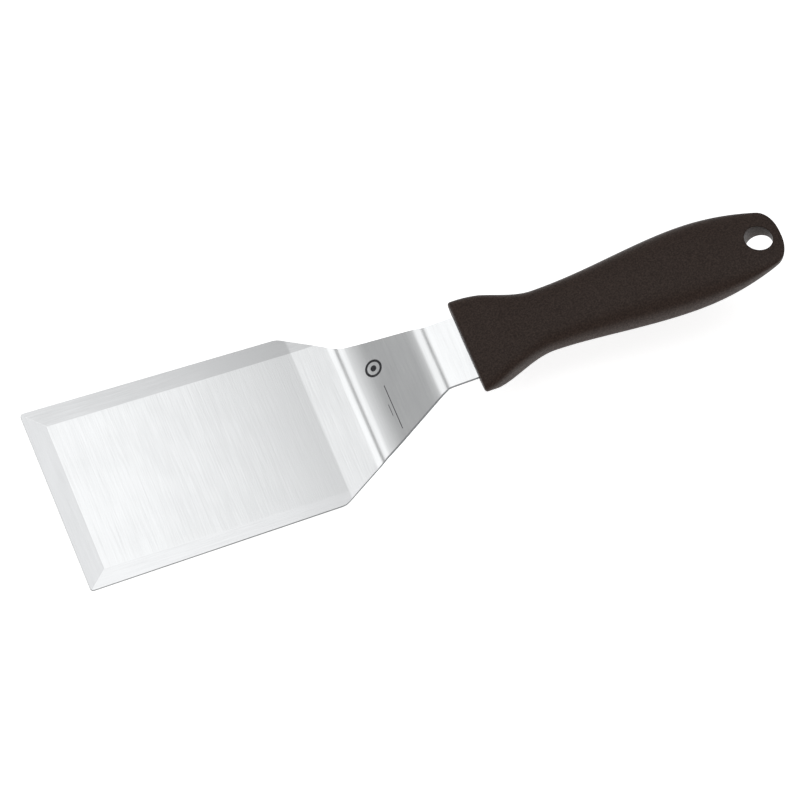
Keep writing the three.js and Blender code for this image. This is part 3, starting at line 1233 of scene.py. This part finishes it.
def ease_through(x: float, *stops: Point2) -> float:
    """Eases from one value to the next along a profile.

    Args:
        x: The place.
        *stops: Places and the values there, in order.

    Returns:
        The value at x.
    """
    spans = list(zip(stops, stops[1:]))
    (start, first), (end, last) = next((s for s in reversed(spans) if x > s[0][0]), spans[0])
    t = min(1.0, max(0.0, (x - start) / (end - start)))
    return first + (last - first) * t * t * (3 - 2 * t)


def arc_drop(x: float, start: float, radius: float) -> float:
    """How far a long arc has dropped at x."""
    return radius - math.sqrt(radius**2 - max(0.0, x - start) ** 2)


@dataclass
class MouldedHandle:
    """The plastic handle in its own frame: X along the tang from its front face. Millimetres."""

    length: float = 131.16
    front_half_width: float = 21.5
    dip_start: float = 18.0
    dip_at: float = 60.0
    dip: float = -1.7
    line_end_at: float = 140.0
    line_end: float = 1.9
    waist_at: float = 32.0
    waist_half_width: float = 13.3
    waist_below: float = 6.4
    belly_at: float = 93.0
    belly_half_width: float = 17.7
    thickest_at: float = 85.0
    thickest_above: float = 7.59
    thickest_below: float = 7.9
    lip_above: float = 3.8
    lip_below: float = 3.5
    crest_at: float = 12.2
    crest_above: float = 6.49
    scoop_at: float = 28.0
    scoop_above: float = 5.8
    heel_at: float = 7.0
    heel_below: float = 7.0
    side_radius: float = 100.0
    face_radius_above: float = 180.0
    face_radius_below: float = 215.0
    front_fillet: float = 1.1
    lip_squareness: float = 2.6
    crest_squareness: float = 3.8
    heel_squareness: float = 3.4
    grip_squareness: float = 2.9
    butt_corner: float = 6.0
    butt_edge_above: float = 4.0
    butt_edge_below: float = 10.0
    butt_squareness: float = 2.5
    hole_diameter: float = 11.2
    hole_from_butt: float = 9.1
    hole_rounding: float = 0.45
    slot_gap: float = 0.08
    slot_mouth: float = 5.0
    around: int = 160
    row_step: float = 1.0
    crest_row: float = 0.35
    crest_clear: float = 0.3
    fillet_rows: int = 9
    butt_rows: int = 22
    rim_rows: int = 6
    rim_points: int = 96
    cutter_flare: float = 0.35
    cutter_above: float = 2.0
    skin_end: float = 0.6
    merge: float = 0.001
    sharp_angle: float = math.radians(38)

    def butt_share(self, x: float, length: float) -> float:
        """Share of the full size left at x where the butt rounds off over a length."""
        along = min(1.0, max(0.0, (x - self.length + length) / length))
        return (1 - along**self.butt_squareness) ** (1 / self.butt_squareness)

    def fillet(self, x: float) -> float:
        """How much the fillet round the front face takes off the section at x."""
        along = min(self.front_fillet, max(0.0, self.front_fillet - x))
        return self.front_fillet - math.sqrt(self.front_fillet**2 - along**2)

    def half_width(self, x: float) -> float:
        """Half the handle's width.

        Args:
            x: Place along the handle.

        Returns:
            The distance from the middle to its side.
        """
        front, waist = (0, self.front_half_width), (self.waist_at, self.waist_half_width)
        body = ease_through(x, front, waist, (self.belly_at, self.belly_half_width))
        body -= arc_drop(x, self.belly_at, self.side_radius)
        return body * self.butt_share(x, self.butt_corner) - self.fillet(x)

    def centre(self, x: float) -> float:
        """Height of the widest line over the axis at x."""
        start, end = (self.dip_start, 0), (self.line_end_at, self.line_end)
        return ease_through(x, start, (self.dip_at, self.dip), end)

    def above(self, x: float) -> float:
        """Height of the handle above its widest line.

        Args:
            x: Place along the handle.

        Returns:
            The height.
        """
        body = self.lip_above + (self.crest_above - self.lip_above) * x / self.crest_at
        if x > self.crest_at:
            crest, scoop = (self.crest_at, self.crest_above), (self.scoop_at, self.scoop_above)
            body = ease_through(x, crest, scoop, (self.thickest_at, self.thickest_above))
        body -= arc_drop(x, self.thickest_at, self.face_radius_above) + self.centre(x)
        return body * self.butt_share(x, self.butt_edge_above) - self.fillet(x)

    def below(self, x: float) -> float:
        """Depth of the handle below its widest line.

        Args:
            x: Place along the handle.

        Returns:
            The depth.
        """
        lip, heel = (0, self.lip_below), (self.heel_at, self.heel_below)
        waist, belly = (self.waist_at, self.waist_below), (self.thickest_at, self.thickest_below)
        body = ease_through(x, lip, heel, waist, belly)
        body += self.centre(x) - arc_drop(x, self.thickest_at, self.face_radius_below)
        return body * self.butt_share(x, self.butt_edge_below) - self.fillet(x)

    def squareness(self, x: float, boxiest: float) -> float:
        """Exponent of the section's superellipse at x, for its top or its underside."""
        front, crest = (0, self.lip_squareness), (self.crest_at, boxiest)
        return ease_through(x, front, crest, (self.waist_at, self.grip_squareness))

    def rows(self) -> list[float]:
        """Places of the sections, closer together at both ends and at the crest.

        Returns:
            The places, in order.
        """
        body = np.arange(self.front_fillet, self.length - self.butt_corner, self.row_step)
        fillet = self.front_fillet * (1 - np.cos(np.linspace(0, QUARTER_TURN, self.fillet_rows)))
        turns = np.linspace(0, QUARTER_TURN, self.butt_rows)
        butt = self.length - self.butt_corner * (1 - np.sin(turns))
        crest = [self.crest_at - self.crest_row, self.crest_at, self.crest_at + self.crest_row]
        kept = [x for x in body if min(abs(x - c) for c in crest) > self.crest_clear]
        return sorted({round(float(x), DIGITS) for x in [*fillet, *kept, *crest, *butt]})

    def spine(self) -> Mesh:
        """One point for each section, with the section's sizes as attributes.

        Returns:
            The mesh, whose first row closes the front face.
        """
        rows = self.rows()
        sizes: dict[str, Callable[[float], float]] = {
            "across": self.half_width,
            "middle": self.centre,
            "rise": self.above,
            "fall": self.below,
            "top_power": lambda x: 2 / self.squareness(x, self.crest_squareness),
            "low_power": lambda x: 2 / self.squareness(x, self.heel_squareness),
        }
        mesh = bpy.data.meshes.new("handle_spine")
        mesh.from_pydata([(x, 0, 0) for x in [0.0, *rows]], [], [])
        for name, rule in sizes.items():
            values = [rule(x) for x in rows]
            closing = values[0] if "power" in name or name == "middle" else 0.0
            layer = mesh.attributes.new(name, "FLOAT", "POINT")
            layer.data.foreach_set("value", [closing, *values])
        return mesh

    def loft_tree(self) -> NodeTree:
        """The tree that draws a superellipse round each point of the spine and skins them.

        Returns:
            The tree, with the number of rows and of points around as inputs.
        """
        wiring, given, result = geometry_tree("loft_the_grip", [
            ("Rows", "NodeSocketInt"),
            ("Around", "NodeSocketInt"),
            ("Merge distance", "NodeSocketFloat"),
            ("Material", "NodeSocketMaterial"),
        ])
        rows, around = given.outputs["Rows"], given.outputs["Around"]
        last = wiring.math("SUBTRACT", rows, 1.0)
        grid = wiring.node("GeometryNodeMeshGrid", {
            "Size X": last,
            "Size Y": 1.0,
            "Vertices X": rows,
            "Vertices Y": wiring.math("ADD", around, 1.0),
        })
        spot = wiring.split(wiring.node("GeometryNodeInputPosition").outputs[0])
        row = wiring.math("ROUND", wiring.math("ADD", spot["X"], wiring.math("DIVIDE", last, 2.0)))
        angle = wiring.math("MULTIPLY", wiring.math("ADD", spot["Y"], 0.5), 2 * math.pi)

        def sample(value: NodeSocket, kind: str) -> NodeSocket:
            """A value of the spine at this row."""
            sockets = {"Geometry": given.outputs["Geometry"], "Value": value, "Index": row}
            return wiring.node("GeometryNodeSampleIndex", sockets, data_type=kind, domain="POINT").outputs[0]

        def size(name: str) -> NodeSocket:
            """A size of this row's section."""
            value = wiring.node("GeometryNodeInputNamedAttribute", {"Name": name}, data_type="FLOAT")
            return sample(value.outputs["Attribute"], "FLOAT")

        def choose(test: NodeSocket, yes: Any, no: Any) -> NodeSocket:
            """One of two numbers, by a test of 0 or 1."""
            return wiring.math("MULTIPLY_ADD", wiring.math("SUBTRACT", yes, no), test, no)

        def squared(value: NodeSocket, power: NodeSocket) -> NodeSocket:
            """A sine or cosine drawn towards the corners of the section."""
            size_of = wiring.math("POWER", wiring.math("ABSOLUTE", value), power)
            return wiring.math("MULTIPLY", wiring.math("SIGN", value), size_of)

        sine, cosine = wiring.math("SINE", angle), wiring.math("COSINE", angle)
        is_top = wiring.math("GREATER_THAN", sine, 0.0)
        power = choose(is_top, size("top_power"), size("low_power"))
        height = choose(is_top, size("rise"), size("fall"))
        along = sample(wiring.node("GeometryNodeInputPosition").outputs[0], "FLOAT_VECTOR")
        along = wiring.split(along)["X"]
        across = wiring.math("MULTIPLY", size("across"), squared(cosine, power))
        lift = wiring.math("MULTIPLY_ADD", height, squared(sine, power), size("middle"))
        place = wiring.node("ShaderNodeCombineXYZ", {"X": along, "Y": across, "Z": lift}).outputs[0]
        flow = grid.outputs["Mesh"]
        for kind, sockets in (
            ("GeometryNodeSetPosition", {"Position": place}),
            ("GeometryNodeMergeByDistance", {"Distance": given.outputs["Merge distance"]}),
            ("GeometryNodeRealizeInstances", {}),
            ("GeometryNodeSetMaterial", {"Material": given.outputs["Material"]}),
        ):
            flow = wiring.node(kind, {"Geometry": flow, **sockets}).outputs[0]
        wiring.feed(result.inputs["Geometry"], flow)
        return wiring.tree

    def slot_cutter(self, steel: SteelPressing) -> Object:
        """The hollow that the neck and tang fill, in the handle's frame.

        Args:
            steel: The pressing that goes into it.

        Returns:
            A closed cutter.
        """
        gap = self.slot_gap
        edge = [(-self.slot_mouth, steel.neck_width / 2 + gap), *steel.tang_edge(0.0, gap)]
        studs = steel.hole_rings(0, steel.tang_hole / 2 - gap)
        bm = bmesh.new()
        add_face(bm, [mirrored(edge), *studs])
        make_plate(bm, steel.sheet / 2 + gap, -steel.sheet / 2 - gap)
        return self.finished_cutter("slot_cutter", bm)

    def hole_cutter(self) -> Object:
        """The hanging hole with rounded rims that follow the handle's skin.

        Returns:
            A closed cutter.
        """
        middle = self.length - self.hole_from_butt
        radius, rounding = self.hole_diameter / 2, self.hole_rounding
        turns = np.linspace(0, QUARTER_TURN, self.rim_rows)
        flare = [(radius + rounding * (1 - math.cos(t)), rounding * (1 - math.sin(t))) for t in turns]
        flare.append((flare[-1][0] + self.cutter_flare, -self.cutter_above))
        around = [2 * math.pi * k / self.rim_points for k in range(self.rim_points)]
        bm = bmesh.new()
        rows = []
        for sign, levels in ((1, flare[::-1]), (-1, flare)):
            for ring_radius, depth in levels:
                places = [(middle + ring_radius * math.cos(t), ring_radius * math.sin(t)) for t in around]
                spots = [(x, y, self.surface(x, y, sign) - sign * depth) for x, y in places]
                rows.append([bm.verts.new(spot) for spot in spots])
        for upper, lower in zip(rows, rows[1:]):
            for k in range(self.rim_points):
                after = (k + 1) % self.rim_points
                bm.faces.new((upper[k], lower[k], lower[after], upper[after]))
        bm.faces.new(rows[0])
        bm.faces.new(rows[-1][::-1])
        return self.finished_cutter("hole_cutter", bm)

    def surface(self, x: float, y: float, sign: int) -> float:
        """Height of the handle's skin at a place seen from above.

        Args:
            x: Place along the handle.
            y: Place across it.
            sign: 1 for the top, -1 for the underside.

        Returns:
            The height over the axis.
        """
        x = min(x, self.length - self.skin_end)
        boxiest = self.crest_squareness if sign > 0 else self.heel_squareness
        power = self.squareness(x, boxiest)
        share = max(0.0, 1 - abs(y / self.half_width(x)) ** power) ** (1 / power)
        return self.centre(x) + sign * (self.above(x) if sign > 0 else self.below(x)) * share

    @staticmethod
    def finished_cutter(name: str, bm: BMesh) -> Object:
        """A closed cutter with its faces outwards; the working mesh is freed."""
        bmesh.ops.recalc_face_normals(bm, faces=bm.faces)
        return new_piece(name, finished_mesh(bm, name))

    def build(self, steel: SteelPressing, front_edge: float) -> Object:
        """Makes the handle in its place on the tang.

        Args:
            steel: The pressing that it is moulded round.
            front_edge: X of the blade's front edge, in metres.

        Returns:
            The finished piece.
        """
        plastic = GrainedPlastic().material()
        piece = new_piece("moulded_handle", self.spine())
        run_tree(piece, self.loft_tree(), {
            "Rows": len(self.rows()) + 1,
            "Around": self.around,
            "Merge distance": self.merge,
            "Material": plastic,
        })
        bm = bmesh.new()
        bm.from_mesh(piece.data)
        bmesh.ops.remove_doubles(bm, verts=bm.verts, dist=2 * self.merge)
        bmesh.ops.recalc_face_normals(bm, faces=bm.faces)
        bm.to_mesh(piece.data)
        bm.free()
        for cutter in (self.hole_cutter(), self.slot_cutter(steel)):
            cut = piece.modifiers.new(cutter.name, "BOOLEAN")
            cut.operation = "DIFFERENCE"
            cut.solver = "EXACT"
            cut.object = cutter
            settle(piece)
            bpy.data.objects.remove(cutter)
        place = Matrix.Translation((front_edge + steel.handle_front * MM, 0, steel.axis_height * MM))
        piece.data.transform(place @ Matrix.Rotation(-steel.neck_angle, 4, "Y") @ Matrix.Scale(MM, 4))
        piece.data.materials.clear()
        piece.data.materials.append(plastic)
        piece.data.shade_smooth()
        piece.data.set_sharp_from_angle(angle=self.sharp_angle)
        declare(piece, "plastic", "handle")
        return piece


# ---------------------------------------------------------------- studio


@dataclass(frozen=True)
class Softbox:
    """A rectangular area light that the steel mirrors.

    Attributes:
        name: The light's name.
        centre: Its middle, in metres.
        size: Its two sides, in metres.
        radiance: How bright the middle of its face is.
        feather: Share of the side over which each edge fades: low and high X, low and high Y.
    """

    name: str
    centre: tuple[float, float, float]
    size: Point2
    radiance: float
    feather: tuple[float, float, float, float] = (0.2, 0.2, 0.2, 0.2)

    def build(self) -> None:
        """Adds the light to the scene, facing down."""
        light = bpy.data.lights.new(self.name, "AREA")
        light.shape = "RECTANGLE"
        light.size, light.size_y = self.size
        light.energy = self.radiance * self.size[0] * self.size[1] * math.pi
        self.fade(light)
        lamp = bpy.data.objects.new(self.name, light)
        lamp.location = self.centre
        lamp.visible_camera = False
        bpy.context.scene.collection.objects.link(lamp)

    def fade(self, light: Light) -> None:
        """Fades the light's face towards its edges.

        Args:
            light: The area light.
        """
        light.use_nodes = True
        wiring = Wiring(light.node_tree)
        sides = wiring.split(wiring.node("ShaderNodeNewGeometry").outputs["Parametric"])
        edges = [e for s in (sides["X"], sides["Y"]) for e in (s, wiring.math("SUBTRACT", 1.0, s))]
        level: Any = 1.0
        for edge, feather in zip(edges, self.feather):
            ramp = wiring.remap(edge, (0.0, feather), (0.0, 1.0), "SMOOTHSTEP")
            level = wiring.math("MULTIPLY", level, ramp)
        wiring.feed(light.node_tree.nodes["Emission"].inputs["Strength"], level)


@dataclass
class Studio:
    """A white floor, soft lights and the camera."""

    elevation: float = math.radians(57.976)
    azimuth: float = math.radians(-20.309)
    distance: float = 3.089
    aim_offset: tuple[float, float, float] = (-0.0135, -0.0148, 0.0043)
    lens: float = 360.0
    sensor: float = 36.0
    clip: Point2 = (0.1, 50.0)
    floor_size: float = 12.0
    surroundings: float = 0.36
    backdrop: float = 1.0
    softboxes: tuple[Softbox, ...] = (
        Softbox("near_bank", (-0.04, 0.7, 1.5), (0.79, 2.2), 0.8, (0.28, 0.25, 0.2, 0.34)),
        Softbox("far_bank", (-1.145, 0.6, 1.5), (1.31, 2.6), 0.74, (0.6, 0.1, 0.2, 0.25)),
        Softbox("side_bank", (1.0, 0.3, 1.5), (1.1, 2.0), 0.9, (0.2, 0.3, 0.3, 0.3)),
    )

    def build(self, box: tuple[Vector, Vector]) -> None:
        """Makes the floor, the surroundings, the lights and the camera.

        Args:
            box: Lowest and highest corner of the object.
        """
        self.make_floor()
        self.make_surroundings()
        for softbox in self.softboxes:
            softbox.build()
        self.make_camera((box[0] + box[1]) / 2)
        view = bpy.context.scene.view_settings
        view.view_transform = "Standard"
        view.look = "None"

    def make_floor(self) -> None:
        """Lays the plain floor that the blade rests on."""
        half = self.floor_size / 2
        corners = [(-half, -half, 0), (half, -half, 0), (half, half, 0), (-half, half, 0)]
        mesh = bpy.data.meshes.new("floor")
        mesh.from_pydata(corners, [], [(0, 1, 2, 3)])
        mesh.materials.append(WhiteFloor().material())
        new_piece("floor", mesh)

    def make_surroundings(self) -> None:
        """Sets an even grey room round the table, with a white backdrop behind the object."""
        world = bpy.data.worlds.new("studio")
        world.use_nodes = True
        wiring = Wiring(world.node_tree)
        shade = world.node_tree.nodes["Background"]
        seen = wiring.node("ShaderNodeLightPath").outputs["Is Camera Ray"]
        strength = wiring.remap(seen, (0.0, 1.0), (self.surroundings, self.backdrop))
        shade.inputs["Color"].default_value = (1.0, 1.0, 1.0, 1.0)
        wiring.feed(shade.inputs["Strength"], strength)
        bpy.context.scene.world = world

    def make_camera(self, middle: Vector) -> None:
        """Sets the camera at the viewing angle.

        Args:
            middle: Middle of the object's box.
        """
        camera = bpy.data.cameras.new("camera")
        camera.lens = self.lens
        camera.sensor_width = self.sensor
        camera.clip_start, camera.clip_end = self.clip
        back = Vector((
            math.sin(self.azimuth) * math.cos(self.elevation),
            -math.cos(self.azimuth) * math.cos(self.elevation),
            math.sin(self.elevation),
        ))
        eye = bpy.data.objects.new("camera", camera)
        eye.location = middle + Vector(self.aim_offset) + back * self.distance
        eye.rotation_euler = (-back).to_track_quat("-Z", "Y").to_euler()
        bpy.context.scene.collection.objects.link(eye)
        bpy.context.scene.camera = eye


def main() -> None:
    """Builds the studio, the steel and the handle."""
    logging.basicConfig(level=logging.INFO, format="%(name)s: %(message)s")
    front_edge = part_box("steel_pressing")[0].x
    Studio().build(CAD_BOX)
    steel = SteelPressing()
    steel.build(front_edge)
    EtchedMark().build(steel, front_edge)
    MouldedHandle().build(steel, front_edge)


if __name__ == "__main__":
    main()
